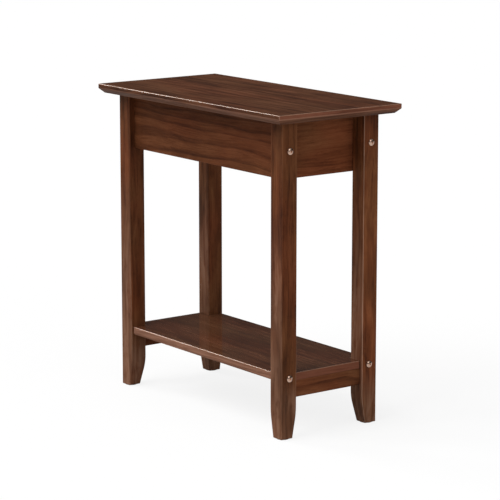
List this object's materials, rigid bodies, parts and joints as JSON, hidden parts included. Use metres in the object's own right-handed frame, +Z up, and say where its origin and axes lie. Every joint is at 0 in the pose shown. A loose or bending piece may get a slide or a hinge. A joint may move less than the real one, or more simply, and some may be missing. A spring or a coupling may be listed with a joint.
{
  "type": "lift top end table",
  "caption": "Narrow wooden end table with tapered legs, a lower shelf, and a split top whose front half lifts on concealed hinges over a storage box.",
  "frame": {"origin": "on the floor, under the middle of the top", "axes": "+Z up, +X to the front end, which is the lid's, +Y to the right side"},
  "size_m": [0.5906, 0.2858, 0.6096],
  "materials": {
    "stained_wood": "satin lacquer over a dark brown stain",
    "floor_board": "stained thin board",
    "inner_wood": "stained, unpolished",
    "dowel_wood": "bare",
    "bolt_metal": "antique nickel plate",
    "zinc_steel": "bright zinc plate",
    "hinge_brass": "plain brass",
    "glide_plastic": "matt moulded",
    "bumper_rubber": "soft, matt"
  },
  "bodies": {
    "base": {"cleat_screws": "zinc_steel", "compartment_floor": "floor_board", "corner_dowels": "dowel_wood", "cross_rail": "inner_wood", "cross_rail_dowels": "dowel_wood", "end_panel_front": "stained_wood", "end_panel_rear": "stained_wood", "fixed_top": "stained_wood", "foot_glides": "glide_plastic", "hinge_left_fixed_barrel": "hinge_brass", "hinge_right_fixed_barrel": "hinge_brass", "leg_dowels": "dowel_wood", "leg_front_left": "stained_wood", "leg_front_right": "stained_wood", "leg_rear_left": "stained_wood", "leg_rear_right": "stained_wood", "lid_bumpers": "bumper_rubber", "lower_leg_bolts": "bolt_metal", "panel_barrel_nuts": "zinc_steel", "shelf": "stained_wood", "shelf_barrel_nuts": "zinc_steel", "shelf_rail_front": "stained_wood", "shelf_rail_rear": "stained_wood", "shelf_rail_screws": "zinc_steel", "side_panel_left": "stained_wood", "side_panel_right": "stained_wood", "top_cleat_left": "inner_wood", "top_cleat_right": "inner_wood", "top_screws": "zinc_steel", "upper_leg_bolts": "bolt_metal"},
    "lid": {"hinge_left_lid_barrel": "hinge_brass", "hinge_right_lid_barrel": "hinge_brass", "lid": "stained_wood"},
    "hinge_links": {"hinge_left_link": "hinge_brass", "hinge_right_link": "hinge_brass"}
  },
  "joints": [
    {"name": "lid_hinge", "type": "hinge", "parent": "base", "child": "lid", "pos_m": [0, 0, 0.6099], "axis": [0, -1, 0], "range_deg": [0, 95]},
    {"name": "link_swing", "type": "hinge", "parent": "lid", "child": "hinge_links", "pos_m": [0, 0, 0.6099], "axis": [0, 1, 0], "range_deg": [0, 47.5]}
  ],
  "couplings": [
    {"joint": "link_swing", "follows": "lid_hinge", "ratio": 0.5}
  ]
}
